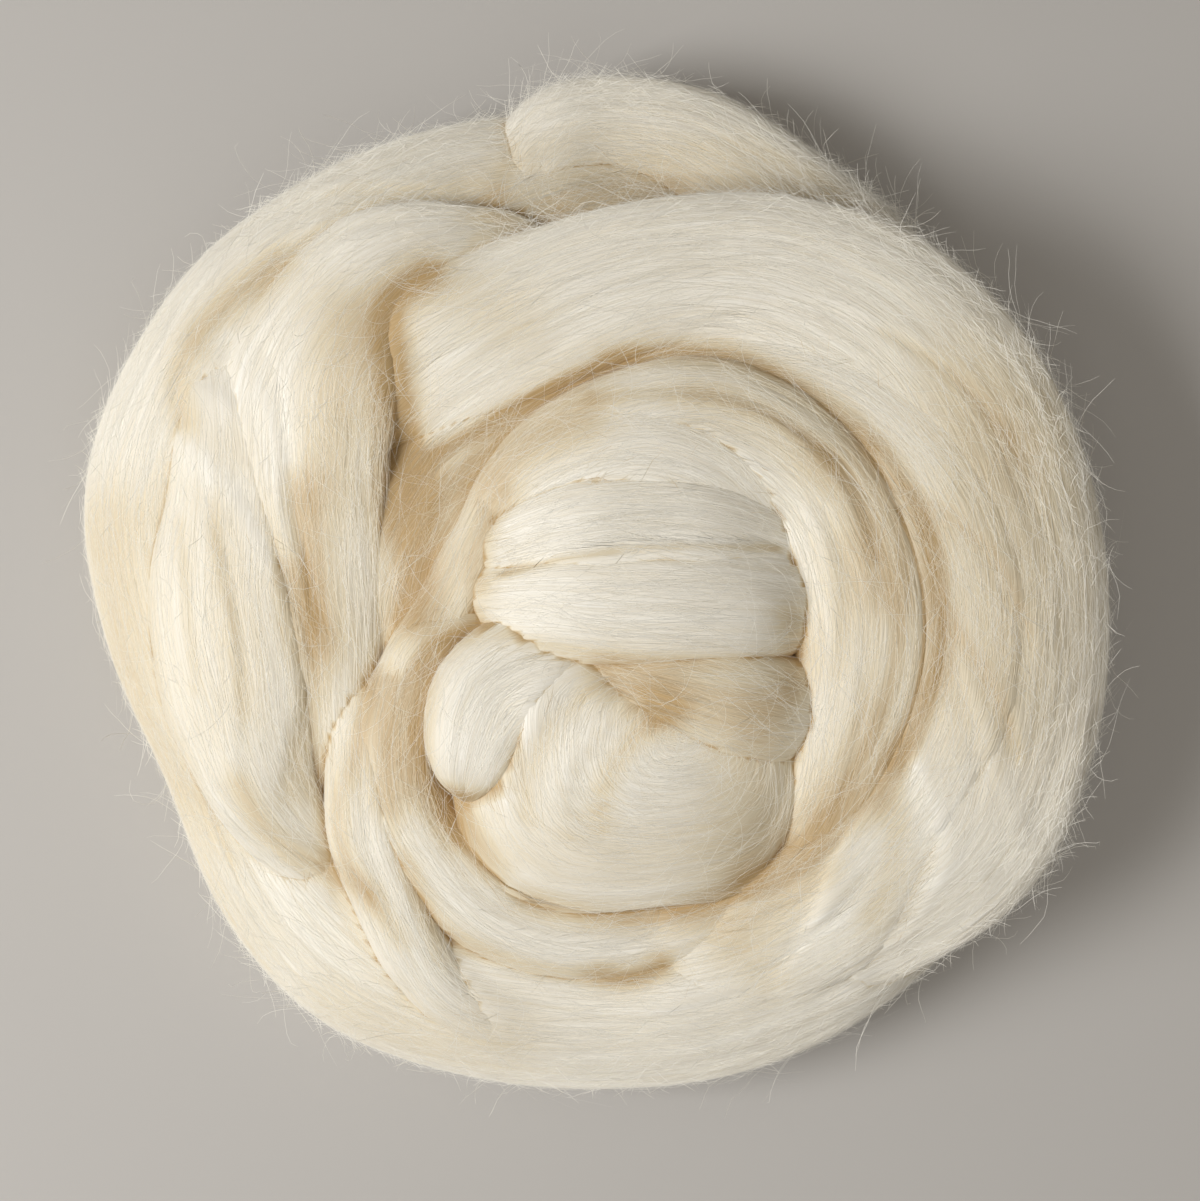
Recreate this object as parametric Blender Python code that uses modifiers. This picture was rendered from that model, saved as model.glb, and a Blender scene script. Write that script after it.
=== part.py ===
"""Wool roving: one length of combed top laid round on itself in a nest, as one solid.

Metres, +Z up. The origin is the middle of the bounding box on the surface that the nest rests on.
"""

from collections import namedtuple
from math import cos, pi, radians, sin

import bmesh
import bpy
from mathutils import Vector

# Driving sizes, in metres.
MM = 0.001
SKIN_STEP = 0.0062  # spacing of the solid's facets
BASE_LEVEL = 0.002  # the tables' level at which the soft underside is pressed flat
BOX_MIDDLE = (0.28 * MM, 0.76 * MM, BASE_LEVEL)  # the origin, in the tables' frame
PROFILE_SIDES = 16  # corners of the oval carried along each turn
PROFILE_STEPS = 6  # cross-sections drawn between two rows of a table
HEAP_SIDES = 32
HEAP_RINGS = 16

# Cross-sections along a turn of the strand, in millimetres from the middle of the nest:
# its centre, its width, and its lean in degrees, positive where the edge on the right of its run is raised.
Section = namedtuple("Section", "x y z width lean", defaults=(0,))
Turn = namedtuple("Turn", "name flatness sections")

# Round heaps of wool, in the same millimetres: the middle, the reach to each side and upward.
Heap = namedtuple("Heap", "name x y z reach_x reach_y reach_z")

TURNS = [
    Turn("outer_turn", 0.90, [
        Section(30, 88, 12, 26),
        Section(6, 93, 14, 32),
        Section(-18, 94, 19, 37),
        Section(-38, 87, 21, 42),
        Section(-58, 76, 22, 45),
        Section(-79, 58, 22, 46),
        Section(-95, 26, 19, 48),
        Section(-91, -5, 18, 50),
        Section(-77, -36, 17, 52),
        Section(-63, -65, 14, 56),
        Section(-43, -84, 15, 56),
        Section(-5, -93, 16.5, 55),
        Section(33, -89, 17, 54),
        Section(63, -73, 18, 52),
        Section(88, -45, 18, 50),
        Section(96, -8, 18, 48),
        Section(87, 32, 18, 46),
        Section(66, 66, 20, 44),
        Section(43, 90, 21, 37, 6),
        Section(26, 104, 22, 30, 14),
        Section(8, 109, 22, 27, 20),
        Section(-5, 107, 23, 27, 18),
        Section(-12, 98, 24, 25, 10),
        Section(-15, 88, 26, 20),
        Section(-17, 78, 26, 10),
    ]),
    Turn("centre_bed", 0.80, [
        Section(10, 0, 22, 40),
        Section(0, 14, 22, 50),
        Section(-22, 4, 22, 54),
        Section(-22, -22, 22, 56),
        Section(8, -34, 22, 56),
        Section(38, -20, 22, 56),
        Section(40, 16, 22, 56),
        Section(10, 40, 22, 50),
        Section(-30, 32, 22, 46),
        Section(-46, 20, 24, 40),
        Section(-52, -4, 22, 40),
        Section(-52, -34, 20, 36),
        Section(-36, -64, 18, 28),
    ]),
    Turn("back_filling", 0.80, [
        Section(70, 48, 22, 22),
        Section(46, 66, 24, 32),
        Section(18, 76, 24, 36),
        Section(-10, 76, 25, 36),
        Section(-36, 64, 30, 38),
        Section(-60, 46, 30, 40),
        Section(-72, 20, 26, 36),
        Section(-72, -14, 24, 30),
    ]),
    Turn("loop_filling", 0.80, [
        Section(44, 84, 19, 18),
        Section(28, 90, 21, 22),
        Section(10, 92, 23, 24),
        Section(-6, 89, 26, 27),
        Section(-20, 83, 29, 28),
        Section(-34, 74, 30, 26),
        Section(-48, 62, 30, 22),
    ]),
    Turn("left_lobe", 0.50, [
        Section(-4, 74, 38, 8),
        Section(-18, 80, 42, 12, -4),
        Section(-33, 79, 45, 20, -10),
        Section(-49, 71.5, 45, 31, -11),
        Section(-62, 52, 45, 40, -21),
        Section(-66, 28, 44, 40, -16),
        Section(-65, 4, 43, 36, -8),
        Section(-63, -18, 41, 30, -4),
        Section(-62, -38, 36, 24),
        Section(-59, -54, 31, 18),
        Section(-53, -68, 26, 14),
        Section(-44, -78, 20, 8),
    ]),
    Turn("left_ridge", 0.62, [
        Section(-90, 66, 26, 5),
        Section(-86, 54, 34.5, 12, -8),
        Section(-83, 40, 40, 24, -14),
        Section(-82, 20, 41, 32, -18),
        Section(-82, -2, 41, 36, -18),
        Section(-80, -24, 41, 33, -14),
        Section(-77, -42, 40, 27, -8),
        Section(-71, -54, 38, 21, -4),
        Section(-62, -64, 35, 16),
        Section(-51, -72, 30, 10),
    ]),
    Turn("upper_turn", 0.56, [
        Section(-6, -92, 16, 8),
        Section(17, -90, 22, 14),
        Section(41, -83, 29, 28, -8),
        Section(65, -71, 36, 42, -8),
        Section(85, -56, 41, 47, -4),
        Section(95, -31, 42, 48),
        Section(97, -5, 43, 48),
        Section(93, 21, 44, 48),
        Section(84, 43, 45, 46),
        Section(68, 61, 47, 42),
        Section(47, 71, 49, 37),
        Section(25, 73, 50, 34),
        Section(5, 69, 50, 35),
        Section(-15, 61, 48, 37, 4),
        Section(-34, 52, 44.5, 38, 13),
        Section(-48, 41, 37, 36, 12),
        Section(-58, 26, 28, 24),
    ]),
    Turn("middle_turn", 0.70, [
        Section(-46, -30, 28, 16),
        Section(-45, -8, 35, 28),
        Section(-39, 13, 37.5, 34),
        Section(-24, 31, 38.5, 34),
        Section(0, 45, 42, 27),
        Section(25, 51, 45, 26),
        Section(50, 48, 46, 30),
        Section(70, 35, 46, 36),
        Section(83, 11, 46, 40),
        Section(86, -14, 45, 40),
        Section(80, -40, 43, 40),
        Section(65, -62, 40, 38),
        Section(45, -77, 35, 36),
        Section(22, -86, 30, 32),
        Section(0, -89, 25, 26),
        Section(-22, -84, 20, 16),
    ]),
    Turn("inner_turn", 0.80, [
        Section(40, -74, 30, 8),
        Section(52, -59, 41, 18),
        Section(60, -38, 47, 27),
        Section(64, -14, 50, 31),
        Section(61, 8, 51, 31),
        Section(50, 27, 52, 29),
        Section(30, 38, 53, 28),
        Section(9, 36, 53, 26),
        Section(-8, 29, 51, 21),
        Section(-19, 18, 49.5, 15),
        Section(-26, 6, 48.5, 12),
        Section(-32, -6, 47, 14),
        Section(-38, -18, 45, 17),
        Section(-42, -32, 44, 19),
        Section(-41, -48, 43, 19),
        Section(-34, -63, 42, 19),
        Section(-21, -76, 40, 18),
        Section(-2, -82, 39, 18),
        Section(18, -79, 38, 17),
        Section(33, -73, 38.5, 15),
        Section(46, -64, 38, 11),
        Section(55, -54, 36, 6),
    ]),
    Turn("side_lock", 0.80, [
        Section(-46, -5, 30, 10),
        Section(-49, -22, 37, 16),
        Section(-51, -42, 41, 18),
        Section(-50, -58, 42, 17),
        Section(-45, -71, 42, 15),
        Section(-40, -83, 40.5, 14),
        Section(-34, -93, 38, 12),
        Section(-24, -100, 35.5, 10),
        Section(-8, -104, 32.5, 8),
        Section(8, -104, 29, 5),
    ]),
    Turn("crown_back", 0.60, [
        Section(-24, 8, 44, 12),
        Section(-15, 20, 52, 20),
        Section(0, 28, 56, 26),
        Section(15, 30, 57, 28),
        Section(29, 26, 56, 27),
        Section(40, 16, 53, 22),
        Section(47, 2, 46, 12),
    ]),
    Turn("crown_middle", 0.70, [
        Section(-25, 6, 42, 8),
        Section(-15, 9, 53, 18),
        Section(-2, 12, 58.5, 24),
        Section(12, 13, 59.5, 25),
        Section(28, 12, 58.5, 25),
        Section(42, 9, 53, 20),
        Section(52, 4, 44, 10),
    ]),
    Turn("crown_front", 0.72, [
        Section(-27, -4, 42, 10),
        Section(-18, -3, 51, 17),
        Section(-6, -3, 58, 23),
        Section(8, -4, 60, 26),
        Section(22, -4, 60.5, 26),
        Section(37, -4, 58, 25),
        Section(52, -5, 48, 20),
    ]),
    Turn("under_fold", 0.60, [
        Section(-8, -14, 51, 6),
        Section(8, -18, 57.5, 14),
        Section(22, -22, 59.5, 20),
        Section(36, -26, 58, 24),
        Section(52, -30, 49, 22),
    ]),
    Turn("tucked_tip", 0.70, [
        Section(8, -20, 48, 18, 10),
        Section(-3, -17, 50, 24, 14),
        Section(-13, -19, 51.5, 27, 14),
        Section(-21, -25, 53, 27, 8),
        Section(-24.5, -33, 54.5, 24, 4),
        Section(-26.5, -41, 55, 19),
        Section(-27.5, -48, 53, 14),
    ]),
]

HEAPS = [
    Heap("hidden_turns", 0, -4, 23, 86, 86, 23),
    Heap("heart", 10, -42, 45.5, 40, 31, 17),
]


def new_collection(name):
    collection = bpy.data.collections.new(name)
    bpy.context.scene.collection.children.link(collection)
    return collection


def wool_material():
    material = bpy.data.materials.new("cream_wool")
    material.use_nodes = True
    shader = material.node_tree.nodes["Principled BSDF"]
    shader.inputs["Base Color"].default_value = (0.80, 0.72, 0.55, 1.0)
    shader.inputs["Roughness"].default_value = 0.75
    shader.inputs["Metallic"].default_value = 0.0
    return material


def oval_profile(name, flatness):
    """A closed oval, one unit wide, for a turn's curve to carry as its bevel."""
    curve = bpy.data.curves.new(name, "CURVE")
    curve.dimensions = "2D"
    oval = curve.splines.new("POLY")
    oval.points.add(PROFILE_SIDES - 1)
    for i, point in enumerate(oval.points):
        angle = 2 * pi * i / PROFILE_SIDES
        point.co = (0.5 * cos(angle), 0.5 * flatness * sin(angle), 0, 1)
    oval.use_cyclic_u = True
    return bpy.data.objects.new(name, curve)


def turn_mesh(turn, guides):
    """One turn of the strand, swept along its sections, as a closed mesh."""
    profile = oval_profile(turn.name + "_profile", turn.flatness)
    guides.objects.link(profile)
    curve = bpy.data.curves.new(turn.name, "CURVE")
    curve.dimensions = "3D"
    curve.twist_mode = "Z_UP"
    curve.resolution_u = PROFILE_STEPS
    curve.bevel_mode = "OBJECT"
    curve.bevel_object = profile
    curve.use_fill_caps = True
    spline = curve.splines.new("BEZIER")
    spline.bezier_points.add(len(turn.sections) - 1)
    spline.tilt_interpolation = "BSPLINE"
    spline.radius_interpolation = "BSPLINE"
    for point, section in zip(spline.bezier_points, turn.sections):
        point.co = Vector((section.x, section.y, section.z)) * MM
        point.radius = section.width * MM
        point.tilt = -radians(section.lean)
        point.handle_left_type = "AUTO"
        point.handle_right_type = "AUTO"
    swept = bpy.data.objects.new(turn.name, curve)
    guides.objects.link(swept)
    graph = bpy.context.evaluated_depsgraph_get()
    mesh = bpy.data.meshes.new_from_object(swept.evaluated_get(graph))
    bpy.data.objects.remove(swept)
    bpy.data.objects.remove(profile)
    return mesh


def heap_mesh(heap):
    """Turns that cannot be told apart from outside, as one round heap."""
    bm = bmesh.new()
    bmesh.ops.create_uvsphere(bm, u_segments=HEAP_SIDES, v_segments=HEAP_RINGS, radius=MM)
    bmesh.ops.scale(bm, vec=(heap.reach_x, heap.reach_y, heap.reach_z), verts=bm.verts)
    bmesh.ops.translate(bm, vec=Vector((heap.x, heap.y, heap.z)) * MM, verts=bm.verts)
    mesh = bpy.data.meshes.new(heap.name)
    bm.to_mesh(mesh)
    bm.free()
    return mesh


def joined(meshes, guides):
    """All the turns in one mesh, not yet one body."""
    bm = bmesh.new()
    for mesh in meshes:
        bm.from_mesh(mesh)
        bpy.data.meshes.remove(mesh)
    bmesh.ops.remove_doubles(bm, verts=bm.verts, dist=1e-6)
    bmesh.ops.recalc_face_normals(bm, faces=bm.faces)
    mesh = bpy.data.meshes.new("laid_turns")
    bm.to_mesh(mesh)
    bm.free()
    laid = bpy.data.objects.new("laid_turns", mesh)
    guides.objects.link(laid)
    return laid


def skinned(laid):
    """One even skin round all the turns, softened where they meet."""
    skin = laid.modifiers.new("skin", "REMESH")
    skin.mode = "VOXEL"
    skin.voxel_size = SKIN_STEP
    soften = laid.modifiers.new("soften", "SMOOTH")
    soften.factor = 0.5
    soften.iterations = 2
    graph = bpy.context.evaluated_depsgraph_get()
    mesh = bpy.data.meshes.new_from_object(laid.evaluated_get(graph))
    bpy.data.objects.remove(laid)
    return mesh


def outer_shell_only(bm):
    """Drops the skins of pockets closed in between the turns."""
    left = set(bm.verts)
    shells = []
    while left:
        start = left.pop()
        shell, edge_of_shell = {start}, [start]
        while edge_of_shell:
            vertex = edge_of_shell.pop()
            for edge in vertex.link_edges:
                other = edge.other_vert(vertex)
                if other in left:
                    left.remove(other)
                    shell.add(other)
                    edge_of_shell.append(other)
        shells.append(shell)
    shells.sort(key=len)
    for shell in shells[:-1]:
        bmesh.ops.delete(bm, geom=list(shell), context="VERTS")


def flat_based(mesh):
    """The skin cut level where it rests, the cut closed by one flat face, and the origin set there."""
    bm = bmesh.new()
    bm.from_mesh(mesh)
    outer_shell_only(bm)
    geometry = bm.verts[:] + bm.edges[:] + bm.faces[:]
    cut = bmesh.ops.bisect_plane(
        bm, geom=geometry, dist=1e-6, plane_co=(0, 0, BASE_LEVEL), plane_no=(0, 0, 1), clear_inner=True
    )
    rim = [item for item in cut["geom_cut"] if isinstance(item, bmesh.types.BMEdge)]
    bmesh.ops.holes_fill(bm, edges=rim)
    bmesh.ops.dissolve_degenerate(bm, dist=1e-5, edges=bm.edges)
    bmesh.ops.triangulate(bm, faces=bm.faces)
    bmesh.ops.recalc_face_normals(bm, faces=bm.faces)
    bmesh.ops.translate(bm, vec=-Vector(BOX_MIDDLE), verts=bm.verts)
    bm.to_mesh(mesh)
    bm.free()
    mesh.shade_smooth()


def main():
    for obj in list(bpy.data.objects):
        bpy.data.objects.remove(obj)
    nest = new_collection("wool_roving")
    guides = new_collection("guides")
    meshes = [turn_mesh(turn, guides) for turn in TURNS]
    meshes += [heap_mesh(heap) for heap in HEAPS]
    mesh = skinned(joined(meshes, guides))
    flat_based(mesh)
    mesh.materials.clear()
    mesh.materials.append(wool_material())
    roving = bpy.data.objects.new("roving", mesh)
    nest.objects.link(roving)


main()
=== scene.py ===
# A nest of wool roving: one long length of combed cream wool, laid round on itself with its end tucked in.
from collections import namedtuple
from math import pi

import bmesh
import bpy
import numpy as np
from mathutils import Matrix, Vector
from mathutils.bvhtree import BVHTree


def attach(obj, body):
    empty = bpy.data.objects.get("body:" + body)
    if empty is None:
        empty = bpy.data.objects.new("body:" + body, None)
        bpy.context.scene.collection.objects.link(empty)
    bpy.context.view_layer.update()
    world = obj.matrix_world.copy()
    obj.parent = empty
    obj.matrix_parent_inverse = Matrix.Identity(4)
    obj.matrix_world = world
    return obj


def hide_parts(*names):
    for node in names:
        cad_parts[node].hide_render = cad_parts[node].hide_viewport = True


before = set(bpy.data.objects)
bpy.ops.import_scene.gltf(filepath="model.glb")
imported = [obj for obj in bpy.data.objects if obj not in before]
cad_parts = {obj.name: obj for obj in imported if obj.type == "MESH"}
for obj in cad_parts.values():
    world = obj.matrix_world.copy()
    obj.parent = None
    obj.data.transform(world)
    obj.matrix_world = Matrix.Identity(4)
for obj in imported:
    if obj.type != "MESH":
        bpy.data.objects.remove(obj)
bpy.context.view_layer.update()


# ---- Outer turn ----
# The outside of the nest: the thick combed strand lying on the table, all the way round, with its end
# lifted over its start at the back in a tight loop. Loose combed wool, held by nothing but its own cling.

MM = 0.001
LOWEST = 0.4 * MM  # nothing reaches lower, so that no wool is inside the table
NEST_MIDDLE = Vector((-0.28, -0.76, -2)) * MM  # over the frame's origin, and sunk a little to lie flat

# A row for each place along a strand: its middle and width in millimetres, and its lean in degrees,
# positive where the edge on the right of its run is raised.
Section = namedtuple("Section", "x y z width lean", defaults=(0, 0))

LOCK_REACH = (35, 75)  # half the length of the shortest and the longest lock, in millimetres


def smooth_run(rows, at):
    """The rows' values at fractional row numbers, on a smooth curve through every row."""
    rows = np.vstack([2 * rows[0] - rows[1], rows, 2 * rows[-1] - rows[-2]])
    row = np.clip(at.astype(int), 0, len(rows) - 4)
    part = (at - row)[:, None]
    before, here, after, beyond = rows[row], rows[row + 1], rows[row + 2], rows[row + 3]
    slope = after - before
    bend = 2 * before - 5 * here + 4 * after - beyond
    twist = 3 * (here - after) + beyond - before
    return here + part / 2 * (slope + part * (bend + part * twist))


def unit(vectors):
    return vectors / np.linalg.norm(vectors, axis=-1, keepdims=True)


def rounded(share):
    """1 in the middle of a run and 0 at both ends, round like the end of an oval."""
    return np.sqrt(np.clip(1 - share**2, 0, 1))


class Strand:
    """Wool laid along a smooth line: an oval of changing width, covered with long flat locks."""

    def __init__(self, sections, flatness, seed, lock_width=4.5, lock_height=0.6, cap=9.0, dome=None):
        rows = np.array([(s.x, s.y, s.z, s.width / 2, s.lean) for s in sections], float)
        run = smooth_run(rows, np.arange(0, len(rows) - 1 + 1e-9, 1 / 16))
        self.centre = run[:, :3] * MM + np.array(NEST_MIDDLE)
        heading = unit(np.gradient(self.centre, axis=0))
        level = unit(np.cross(heading, (0, 0, 1)))
        upright = np.cross(level, heading)
        lean = np.radians(run[:, 4:5])
        self.side = level * np.cos(lean) + upright * np.sin(lean)
        self.up = upright * np.cos(lean) - level * np.sin(lean)
        gaps = np.linalg.norm(np.diff(self.centre, axis=0), axis=1)
        self.marks = np.concatenate(([0], np.cumsum(gaps)))
        self.length = self.marks[-1]
        to_end = np.minimum(self.marks, self.length - self.marks)
        self.dome = dome
        if dome:  # the wool runs round a pivot, and is as wide as its distance from it
            self.side = self.centre - np.array((dome.pivot_x, dome.pivot_y, 0)) * MM
            self.side[:, 2] = 0
            run[:, 3] = np.linalg.norm(self.side, axis=1) / MM
            self.side = unit(self.side)
            self.up = self.side * 0 + (0, 0, 1)
        self.half = run[:, 3] * MM * rounded(1 - np.clip(to_end / (cap * MM), 0, 1))
        self.flatness = flatness
        self.girth = 2 * pi * float(np.median(self.half)) * (1 + flatness) / 2
        draw = np.random.default_rng(seed)
        lock_area = 1.6 * lock_width * sum(LOCK_REACH) * MM * MM
        count = int(1.5 * self.length * self.girth / lock_area) + 6
        middle = draw.uniform(-0.1, 1.1, count) * self.length
        reach = draw.uniform(*LOCK_REACH, count) * MM
        edge = draw.uniform(0, 1, count)
        drift = draw.normal(0, 0.04, count)
        size = draw.uniform(0.3, 1.0, count) ** 1.5 * 2
        self.locks = np.array([
            middle - reach,
            middle + reach,
            edge - drift,
            edge + drift,
            size * lock_width * MM,
            size * draw.uniform(0.5, 1.0, count) * lock_height * MM,
        ]).T

    def relief(self, along, around):
        """How far the locks stand out at each place: the highest of those that pass over it."""
        highest = np.zeros(along.shape)
        reach = np.interp(along, self.marks, self.half) * (1 + self.flatness) * pi
        for start, end, edge_start, edge_end, width, height in self.locks:
            share = (along - start) / (end - start)
            taper = rounded(2 * share - 1)
            off = around - (edge_start + (edge_end - edge_start) * share)
            off = (off - np.round(off)) * reach
            here = height * taper * rounded(off / (width * np.maximum(taper, 0.05)))
            highest = np.maximum(highest, here)
        return highest

    def at(self, along, around, lift=0.0):
        """Points on the surface, along in metres and around from 0 underneath to 0.5 on top."""
        along, around = np.broadcast_arrays(along, around)

        def read(values):
            return np.stack([np.interp(along, self.marks, v) for v in values.T], -1)

        angle = 2 * pi * around - pi / 2
        half = np.interp(along, self.marks, self.half)
        out = self.relief(along, around) * np.clip(half / (6 * MM), 0, 1) + lift
        across = (half + out) * np.cos(angle)
        above = (half * self.flatness + out) * np.sin(angle)
        points = read(self.centre) + read(self.side) * across[..., None] + read(self.up) * above[..., None]
        if self.dome:
            dome = self.dome
            x = np.abs(points[..., 0] / MM - dome.x) / dome.reach_x
            y = np.abs(points[..., 1] / MM - dome.y) / dome.reach_y
            roof = dome.height * np.sqrt(np.clip(1 - x**2.3 - y**2.3, 0, 1)) * MM
            above = np.where(np.sin(angle) > 0, roof + out, 0.3 * above)
            points[..., 2] = dome.z * MM + NEST_MIDDLE.z + above
        points[..., 2] = np.maximum(points[..., 2], LOWEST)
        return points, out


def closer_at_the_ends(share):
    """Shares of a strand's length, spread so that its rounded ends get the finest steps."""
    return share - 0.6 * np.sin(2 * pi * share) / (2 * pi)


def skin_mesh(strand, name):
    """The strand's surface: a flat grid rolled round the line and closed at its seam and ends."""
    hidden = name.endswith("bed")
    bm = bmesh.new()
    lay = bm.loops.layers.uv.new("along_the_lay")
    rings = max(int(strand.length / (6 * MM if hidden else 2.1 * MM)), 12)
    sides = int(np.clip(strand.girth / (3 * MM if hidden else 1.15 * MM), 24, 120))
    bmesh.ops.create_grid(bm, x_segments=rings, y_segments=sides, size=0.5, calc_uvs=True)
    flat = np.array([v.co[:2] for v in bm.verts]) + 0.5
    round_the_line = flat[:, 1] + 0.45 * np.sin(2 * pi * flat[:, 1]) / (2 * pi)
    standing = bm.verts.layers.float.new("standing_out")
    along = closer_at_the_ends(flat[:, 0]) * strand.length
    for vertex, place, out in zip(bm.verts, *strand.at(along, round_the_line)):
        vertex.co = place
        vertex[standing] = out
    for face in bm.faces:
        for loop in face.loops:
            along, across = loop[lay].uv
            loop[lay].uv = (closer_at_the_ends(along) * strand.length, across * strand.girth)
    bmesh.ops.remove_doubles(bm, verts=bm.verts, dist=1e-5)
    bmesh.ops.recalc_face_normals(bm, faces=bm.faces)
    mesh = bpy.data.meshes.new(name)
    bm.to_mesh(mesh)
    bm.free()
    mesh.shade_smooth()
    return mesh


def added(name, mesh, material):
    """A finished piece of the nest, riding with its body in the roving's place."""
    piece = bpy.data.objects.new(name, mesh)
    bpy.context.scene.collection.objects.link(piece)
    mesh.materials.append(material)
    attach(piece, "root")
    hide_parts("roving")
    return piece


def combed_wool():
    """Cream wool seen close: fine pale streaks along the strand, with painted shade that makes it warmer
    and darker where it lies deep or gets less light.
    """
    material = bpy.data.materials.new("combed_wool")
    material.use_nodes = True
    nodes, links = material.node_tree.nodes, material.node_tree.links
    shader = nodes["Principled BSDF"]
    shader.inputs["Roughness"].default_value = 0.5
    shader.inputs["Sheen Weight"].default_value = 0.2
    shader.inputs["Sheen Roughness"].default_value = 0.4
    uv = nodes.new("ShaderNodeUVMap")
    uv.uv_map = "along_the_lay"

    def noise(source, along, across, detail):
        spread = nodes.new("ShaderNodeMapping")
        spread.inputs["Scale"].default_value = (along, across, 1)
        links.new(source, spread.inputs["Vector"])
        texture = nodes.new("ShaderNodeTexNoise")
        texture.inputs["Scale"].default_value = 1
        texture.inputs["Detail"].default_value = detail
        texture.inputs["Roughness"].default_value = 0.6
        links.new(spread.outputs["Vector"], texture.inputs["Vector"])
        return texture

    def sum_of(parts, start):
        """start + each part's value times its weight."""
        total = None
        for source, weight in parts:
            step = nodes.new("ShaderNodeMath")
            step.operation = "MULTIPLY_ADD"
            step.inputs[1].default_value = weight
            links.new(source, step.inputs[0])
            if total is None:
                step.inputs[2].default_value = start
            else:
                links.new(total, step.inputs[2])
            total = step.outputs["Value"]
        return total

    wander = noise(uv.outputs["UV"], 25, 40, 2)
    sway = nodes.new("ShaderNodeVectorMath")
    sway.operation = "MULTIPLY_ADD"
    sway.inputs[1].default_value = (0, 0.006, 0)
    links.new(wander.outputs["Color"], sway.inputs[0])
    links.new(uv.outputs["UV"], sway.inputs[2])
    swayed = sway.outputs["Vector"]
    broad = noise(swayed, 9, 260, 3).outputs["Fac"]
    middling = noise(swayed, 22, 900, 3).outputs["Fac"]
    fine = noise(swayed, 70, 2400, 3).outputs["Fac"]
    # The painted shade and painted highlights, read from each spot's open_air value.
    open_air = nodes.new("ShaderNodeAttribute")
    open_air.attribute_name = "open_air"
    shade = sum_of([
        (open_air.outputs["Fac"], 1.5),
        (broad, 0.36),
        (middling, 0.36),
        (fine, 0.3),
    ], -1.13)
    # The ramp paints the shade into the colour: golden brown in deep shade, cream where the wool lies open
    # to the light.
    tone = nodes.new("ShaderNodeValToRGB")
    tone.color_ramp.elements[0].color = (0.52, 0.36, 0.17, 1)
    tone.color_ramp.elements[1].color = (0.94, 0.91, 0.83, 1)
    tone.color_ramp.elements.new(0.55).color = (0.755, 0.665, 0.49, 1)
    tone.color_ramp.elements.new(0.85).color = (0.84, 0.79, 0.68, 1)
    links.new(shade, tone.inputs["Fac"])
    links.new(tone.outputs["Color"], shader.inputs["Base Color"])
    bump = nodes.new("ShaderNodeBump")
    bump.inputs["Strength"].default_value = 0.5
    bump.inputs["Distance"].default_value = 0.0008
    links.new(sum_of([(middling, 0.5), (fine, 0.7)], 0.0), bump.inputs["Height"])
    links.new(bump.outputs["Normal"], shader.inputs["Normal"])
    return material


wool = combed_wool()
laid = []


def lay_turn(name, flatness, sections, seed, **finish):
    strand = Strand(sections, flatness, seed, **finish)
    laid.append((strand, added(name, skin_mesh(strand, name), wool)))


lay_turn("outer_turn", 0.90, [
    Section(30, 88, 12, 26),
    Section(6, 93, 14, 32),
    Section(-18, 94, 19, 37),
    Section(-38, 87, 21, 42),
    Section(-58, 76, 22, 45),
    Section(-79, 58, 22, 46),
    Section(-95, 26, 19, 48),
    Section(-91, -5, 18, 50),
    Section(-77, -36, 17, 52),
    Section(-63, -65, 14, 56),
    Section(-43, -84, 15, 56),
    Section(-5, -93, 16.5, 55),
    Section(33, -89, 17, 54),
    Section(63, -73, 18, 52),
    Section(88, -45, 18, 50),
    Section(96, -8, 18, 48),
    Section(87, 32, 18, 46),
    Section(66, 66, 20, 44),
    Section(43, 90, 21, 37, 6),
    Section(26, 104, 22, 30, 14),
    Section(8, 109, 22, 27, 20),
    Section(-5, 107, 23, 27, 18),
    Section(-12, 98, 24, 25, 10),
    Section(-15, 88, 26, 20),
    Section(-17, 78, 26, 10),
], seed=1)


# ---- Turns below ----
# The wool under the visible turns, which carries them: a low coil in the middle, and the strand's hidden
# way along the back. Only their tops show, deep in the creases, so they are the same wool laid plainly.

lay_turn("centre_bed", 0.80, [
    Section(10, 0, 22, 40),
    Section(0, 14, 22, 50),
    Section(-22, 4, 22, 54),
    Section(-22, -22, 22, 56),
    Section(8, -34, 22, 56),
    Section(38, -20, 22, 56),
    Section(40, 16, 22, 56),
    Section(10, 40, 22, 50),
    Section(-30, 32, 22, 46),
    Section(-46, 20, 24, 40),
    Section(-52, -4, 22, 40),
    Section(-52, -34, 20, 36),
    Section(-36, -64, 18, 28),
], seed=10)

lay_turn("back_filling", 0.80, [
    Section(70, 48, 22, 22),
    Section(46, 66, 24, 32),
    Section(18, 76, 24, 36),
    Section(-10, 76, 25, 36),
    Section(-36, 64, 30, 38),
    Section(-60, 46, 30, 40),
    Section(-72, 20, 26, 36),
    Section(-72, -14, 24, 30),
], seed=11)

lay_turn("loop_filling", 0.80, [
    Section(44, 84, 19, 18),
    Section(28, 90, 21, 22),
    Section(10, 92, 23, 24),
    Section(-6, 89, 26, 27),
    Section(-20, 83, 29, 28),
    Section(-34, 74, 30, 26),
    Section(-48, 62, 30, 22),
], seed=13)


# ---- Left lobe ----
# A flattened turn that comes out from under the upper turn and falls away down the left side, with a
# second, narrower ridge of the same combed wool pulled up along its outer edge.

lay_turn("left_lobe", 0.50, [
    Section(-4, 74, 38, 8),
    Section(-18, 80, 42, 12, -4),
    Section(-33, 79, 45, 20, -10),
    Section(-49, 71.5, 45, 31, -11),
    Section(-62, 52, 45, 40, -21),
    Section(-66, 28, 44, 40, -16),
    Section(-65, 4, 43, 36, -8),
    Section(-63, -18, 41, 30, -4),
    Section(-62, -38, 36, 24),
    Section(-59, -54, 31, 18),
    Section(-53, -68, 26, 14),
    Section(-44, -78, 20, 8),
], seed=2)

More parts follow.
